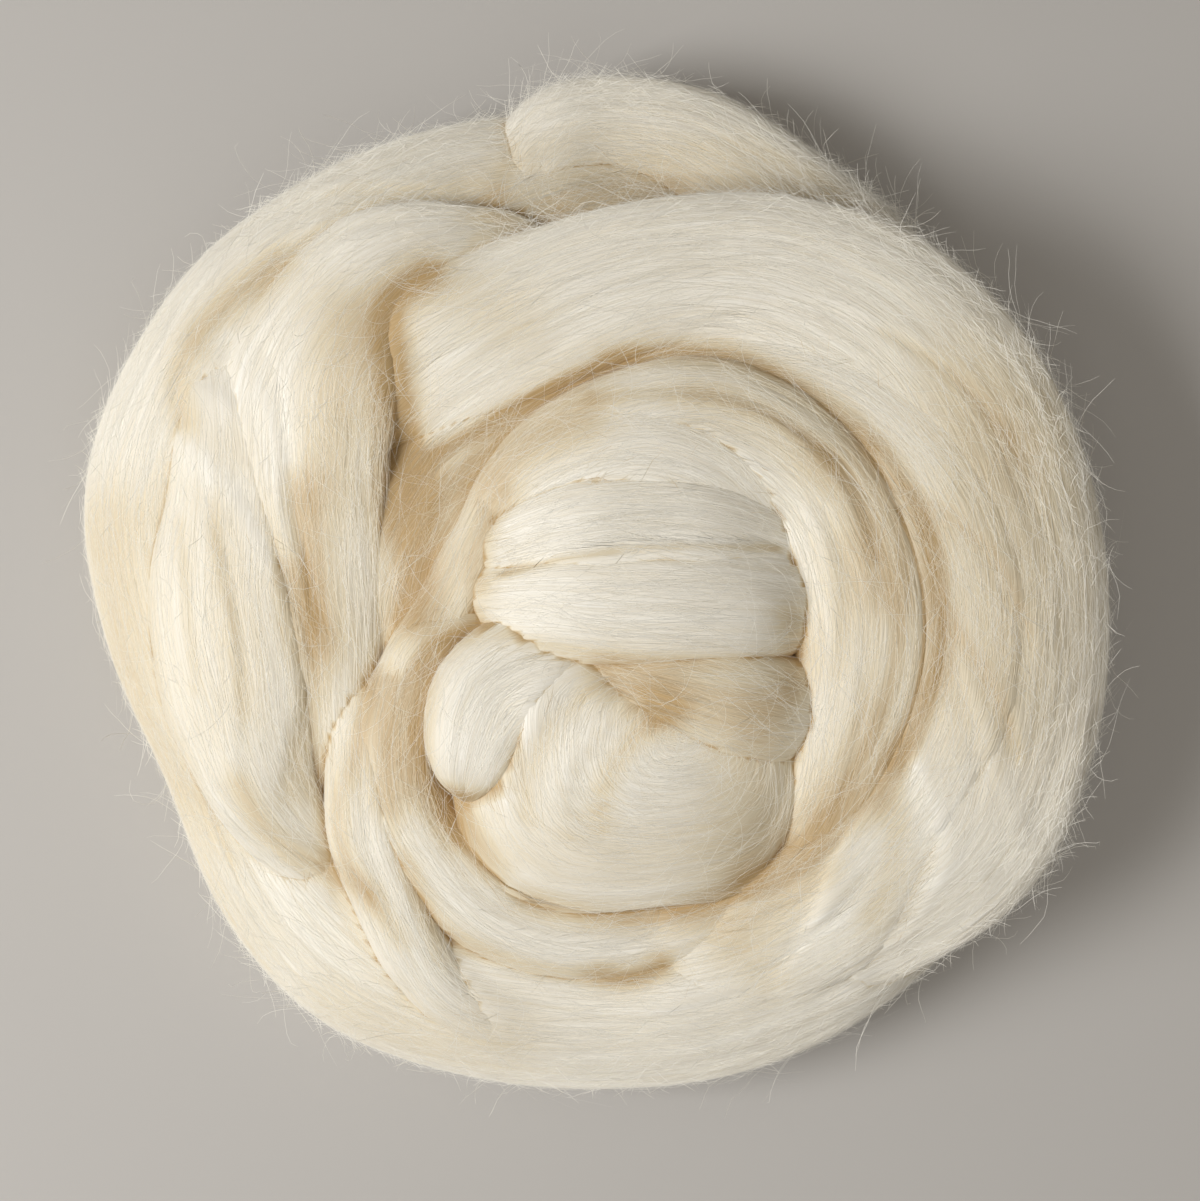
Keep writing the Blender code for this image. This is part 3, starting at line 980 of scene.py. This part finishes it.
def fibre_mesh(name, paths, facings, light, thickness, draw, corners=FLAT_FIBRE, paler=0.0):
    """One mesh of many fibres, each turned to lie flat on the wool below it."""
    section = fibre_section(corners)
    curve = bpy.data.curves.new(name, "CURVE")
    curve.dimensions = "3D"
    curve.bevel_mode = "OBJECT"
    curve.bevel_object = section
    curve.use_fill_caps = True
    curve.twist_mode = "Z_UP"
    n, points = paths.shape[:2]
    heading = unit(np.gradient(paths, axis=1) + 1e-9)
    level = unit(np.cross(heading, (0, 0, 1)) + 1e-9)
    upright = np.cross(level, heading)
    tilt = np.arctan2((facings * level).sum(-1), (facings * upright).sum(-1))
    taper = 0.35 + 0.65 * rounded(np.linspace(-1, 1, points) * 0.97)
    for path, tilts in zip(paths, tilt):
        spline = curve.splines.new("POLY")
        spline.points.add(points - 1)
        spline.points.foreach_set("co", np.hstack([path, np.ones((points, 1))]).ravel())
        spline.points.foreach_set("tilt", tilts)
        spline.points.foreach_set("radius", taper * thickness * MM * draw.uniform(0.6, 1.2) / 2)
    carrier = bpy.data.objects.new(name, curve)
    bpy.context.scene.collection.objects.link(carrier)
    graph = bpy.context.evaluated_depsgraph_get()
    mesh = bpy.data.meshes.new_from_object(carrier.evaluated_get(graph))
    bpy.data.objects.remove(carrier)
    bpy.data.objects.remove(section)
    tone = mesh.attributes.new("open_air", "FLOAT", "POINT")
    # Each fibre's colour carries the painted shade of the wool below, paled by paler as painted light on
    # fibres that catch it, and varied at random from fibre to fibre.
    shade = np.clip(light * 1.4 - 0.62 + paler + draw.uniform(0, 0.36, (n, 1)), 0, 1)
    end_caps = shade[::-1, [-1, 0]].repeat(3, axis=1)  # the mesh holds them first, last fibre first
    tone.data.foreach_set("value", np.concatenate([end_caps.ravel(), shade.repeat(3, axis=1).ravel()]))
    if corners is ROUND_FIBRE:
        mesh.shade_smooth()
    return mesh


def fibre_wool():
    material = bpy.data.materials.new("wool_fibre")
    material.use_nodes = True
    nodes, links = material.node_tree.nodes, material.node_tree.links
    shader = nodes["Principled BSDF"]
    shader.inputs["Roughness"].default_value = 0.4
    tone = nodes.new("ShaderNodeAttribute")
    tone.attribute_name = "open_air"
    # The same painted shade as the wool: golden brown in deep shade, cream in the open light.
    ramp = nodes.new("ShaderNodeValToRGB")
    ramp.color_ramp.elements[0].color = (0.62, 0.46, 0.25, 1)
    ramp.color_ramp.elements[1].color = (0.94, 0.91, 0.83, 1)
    middle = ramp.color_ramp.elements.new(0.5)
    middle.color = (0.83, 0.75, 0.58, 1)
    links.new(tone.outputs["Fac"], ramp.inputs["Fac"])
    links.new(ramp.outputs["Color"], shader.inputs["Base Color"])
    return material


wool_fibre = fibre_wool()
fibre_draw = np.random.default_rng(77)
visible = [(strand, skin) for strand, skin in laid if not skin.name.endswith("bed")]
total_area = sum(strand.length * strand.girth for strand, _ in visible)

# How many there are on the whole nest, their shortest and longest in millimetres, how far they sway and
# stray, how high they rise, the share with a loose end, the points along each, how thick they are in
# millimetres, and how much paler than the wool below, which is painted light that loose fibres catch.
Lay = namedtuple("Lay", "count length sway stray rise loose_end points thickness paler")
LAYS = {
    "fibres": Lay(8300, (30, 80), 0.9, 0.07, 0.45, 0.06, 7, 0.13, 0.0),
    "strays": Lay(6800, (8, 32), 2.0, 0.4, 1.3, 0.35, 6, 0.095, 0.45),
}
for strand, skin in visible:
    share = strand.length * strand.girth / total_area
    for kind, lay in LAYS.items():
        run = fibre_run(strand, skin, lay, share, fibre_draw)
        mesh = fibre_mesh(kind, *run, lay.thickness, fibre_draw, paler=lay.paler)
        added(skin.name + "_" + kind, mesh, wool_fibre).visible_shadow = False


# ---- Loose hairs ----
# Single wool hairs that have sprung out of the nest all round its edge, curled and finer than thread,
# with a short fuzz below them and thicker tufts where the strand was pulled apart.

# The middle and reach of each tuft, in millimetres.
TUFTS = (
    (-70, -100, 16),
    (-60, 96, 20),
    (-122, 40, 12),
    (-8, 119, 22),
    (105, 50, 22),
    (113, -62, 18),
    (70, 90, 20),
)
HAIR_REACH = 132 * MM  # no hair gets farther from the nest's middle
PAST_THE_NEST = 0.2  # a way that is this long, in metres, leaves the nest

# How many there are on the whole nest, the points along each, the shortest and longest step between them
# in millimetres, how far they stand up, how wildly they curl, and how thick they are in millimetres.
Hair = namedtuple("Hair", "count points step standing wildness thickness")
HAIRS = {
    "hairs": Hair(1900, 8, (0.8, 3.2), 0.5, 0.12, 0.1),
    "fuzz": Hair(8000, 4, (0.8, 2.2), 0.8, 0.14, 0.12),
}


def loose_hairs(strand, skin, hair, share, draw):
    """Curled paths that leave the strand where nothing lies outside it."""
    count = int(hair.count * share)
    along = draw.uniform(0.02, 0.98, count * 12) * strand.length
    around = draw.uniform(0.1, 0.9, count * 12)
    place = strand.at(along, around)[0]
    start = []
    for i, (x, y, _) in enumerate(place / MM):
        near_tuft = max(np.exp(-((x - tx) ** 2 + (y - ty) ** 2) / spread**2) for tx, ty, spread in TUFTS)
        if draw.uniform() > 0.25 + near_tuft:
            continue
        outward = Vector((x, y, 0)).normalized()
        outside = Vector(place[i]) + outward * 3 * MM
        if nest.ray_cast(outside, outward + Vector((0, 0, 0.1)), PAST_THE_NEST)[0] is None:
            start.append(i)
        if len(start) == count:
            break
    own = skin_tree(skin)
    ahead = strand.at(along + 1 * MM, around)[0]
    hairs, facings = [], []
    for i in start:
        near, facing, _, _ = own.find_nearest(Vector(place[i]))
        heading = Vector(ahead[i] - place[i]).normalized() * draw.choice((-1, 1))
        sideways = Vector(draw.normal(0, hair.wildness, 3))
        way = (heading + facing * draw.uniform(0.03, hair.standing) + sideways).normalized()
        curl = Vector(draw.normal(0, 1, 3)) * draw.uniform(0.3, 3.0) * hair.wildness
        step = draw.uniform(*hair.step) * MM
        spot = near - facing * 0.3 * MM
        path = []
        for _ in range(hair.points):
            away = max(1.0, Vector((spot.x, spot.y, 0)).length / HAIR_REACH)
            path.append((spot.x / away, spot.y / away, max(spot.z, LOWEST)))
            spot = spot + way * step
            way = (way + curl.cross(way) * 0.5 + Vector(draw.normal(0, hair.wildness, 3))).normalized()
        hairs.append(path)
        facings.append([facing] * hair.points)
    # The hairs are painted as wholly open to the light, with no shade.
    return np.array(hairs), np.array(facings), np.ones((len(hairs), hair.points))


# The turns at the nest's edge, and the share of the hairs that each carries.
HAIRY = {"outer_turn": 0.62, "left_lobe": 0.05, "left_ridge": 0.03, "upper_turn": 0.3}
for strand, skin in laid:
    if skin.name in HAIRY:
        for kind, hair in HAIRS.items():
            hairs = loose_hairs(strand, skin, hair, HAIRY[skin.name], fibre_draw)
            # Painted a little paler still, as light that the hairs catch.
            mesh = fibre_mesh(kind, *hairs, hair.thickness, fibre_draw, ROUND_FIBRE, 0.2)
            added(skin.name + "_" + kind, mesh, wool_fibre).visible_shadow = False


# ---- Crossing hairs ----
# Hairs that have worked loose on top and lie over the nest from turn to turn, bridging the creases.

CROSSING = 2200
CROSSING_POINTS = 8


def crossing_hairs(strand, count, points, draw):
    """Curved hairs that wander over the nest from turn to turn, bridging the creases between them."""
    along = draw.uniform(0.02, 0.98, count * 3) * strand.length
    around = draw.uniform(0.2, 0.8, count * 3)
    place, ahead = strand.at(along, around)[0], strand.at(along + 1 * MM, around)[0]
    hairs = []
    for start, toward in zip(place, ahead):
        if nest.ray_cast(Vector(start) + UPRIGHT * 2 * MM, UPRIGHT, PAST_THE_NEST)[0] is not None:
            continue
        heading = np.arctan2(toward[1] - start[1], toward[0] - start[0]) + draw.normal(0, 0.5)
        bend, step = draw.normal(0, 0.16), draw.uniform(1.2, 3.6) * MM
        lift, slack = draw.uniform(0.1, 0.9) * MM, draw.uniform(0.2, 0.7)
        x, y, height, path = start[0], start[1], 0.0, []
        for j in range(points):
            below = nest.ray_cast(Vector((x, y, PAST_THE_NEST)), -UPRIGHT, PAST_THE_NEST)[0]
            if below is None:
                break
            height = max(below.z + lift * np.sin(pi * (j + 0.5) / points), height - slack * step)
            path.append((x, y, height))
            heading += bend + draw.normal(0, 0.1)
            x, y = x + np.cos(heading) * step, y + np.sin(heading) * step
        if len(path) == points:
            hairs.append(path)
        if len(hairs) == count:
            break
    facings = np.zeros((len(hairs), points, 3)) + (0, 0, 1)
    # Crossing hairs are painted with a fixed light, three quarters open.
    return np.array(hairs), facings, np.full((len(hairs), points), 0.75)


for strand, skin in visible:
    share = strand.length * strand.girth / total_area
    count = int(CROSSING * share) + 1
    # standing holds each point's painted light, not how the hair stands.
    paths, facings, standing = crossing_hairs(strand, count, CROSSING_POINTS, fibre_draw)
    if len(paths) > 0:
        mesh = fibre_mesh("crossing", paths, facings, standing, 0.085, fibre_draw, paler=0.35)
        added(skin.name + "_crossing", mesh, wool_fibre).visible_shadow = False


# ---- Floor, light and camera ----
# A plain pale floor, one broad soft light on the left, a weaker one higher up at the front right, and a
# camera looking straight down on the nest.

def paper_floor():
    bm = bmesh.new()
    bmesh.ops.create_grid(bm, x_segments=1, y_segments=1, size=8)
    mesh = bpy.data.meshes.new("floor")
    bm.to_mesh(mesh)
    bm.free()
    floor = bpy.data.objects.new("floor", mesh)
    bpy.context.scene.collection.objects.link(floor)
    material = bpy.data.materials.new("pale_paper")
    material.use_nodes = True
    shader = material.node_tree.nodes["Principled BSDF"]
    shader.inputs["Base Color"].default_value = (0.50, 0.48, 0.455, 1)
    shader.inputs["Roughness"].default_value = 0.9
    mesh.materials.append(material)


def soft_light(name, place, size, watts):
    data = bpy.data.lights.new(name, "AREA")
    data.size = size
    data.energy = watts
    lamp = bpy.data.objects.new(name, data)
    lamp.location = place
    lamp.rotation_euler = (-Vector(place)).to_track_quat("-Z", "Y").to_euler()
    bpy.context.scene.collection.objects.link(lamp)


paper_floor()
soft_light("window_light", (-0.92, -0.14, 0.86), 0.6, 12.8)
soft_light("fill_light", (0.3, -0.5, 1.0), 1.0, 1.5)

world = bpy.data.worlds.new("studio")
world.use_nodes = True
world.node_tree.nodes["Background"].inputs["Color"].default_value = (1.0, 0.94, 0.85, 1)
world.node_tree.nodes["Background"].inputs["Strength"].default_value = 0.29
bpy.context.scene.world = world
bpy.context.scene.view_settings.view_transform = "Standard"

VIEW_WIDTH = 0.28  # how much the camera sees from side to side, in metres, where the upper turns lie
VIEW_HEIGHT = 40 * MM  # how high they lie
camera = bpy.data.objects.new("camera", bpy.data.cameras.new("camera"))
camera.data.lens = 85
distance = VIEW_WIDTH * camera.data.lens / camera.data.sensor_width
camera.location = (3.2 * MM, -3.7 * MM, VIEW_HEIGHT + distance)
bpy.context.scene.collection.objects.link(camera)
bpy.context.scene.camera = camera
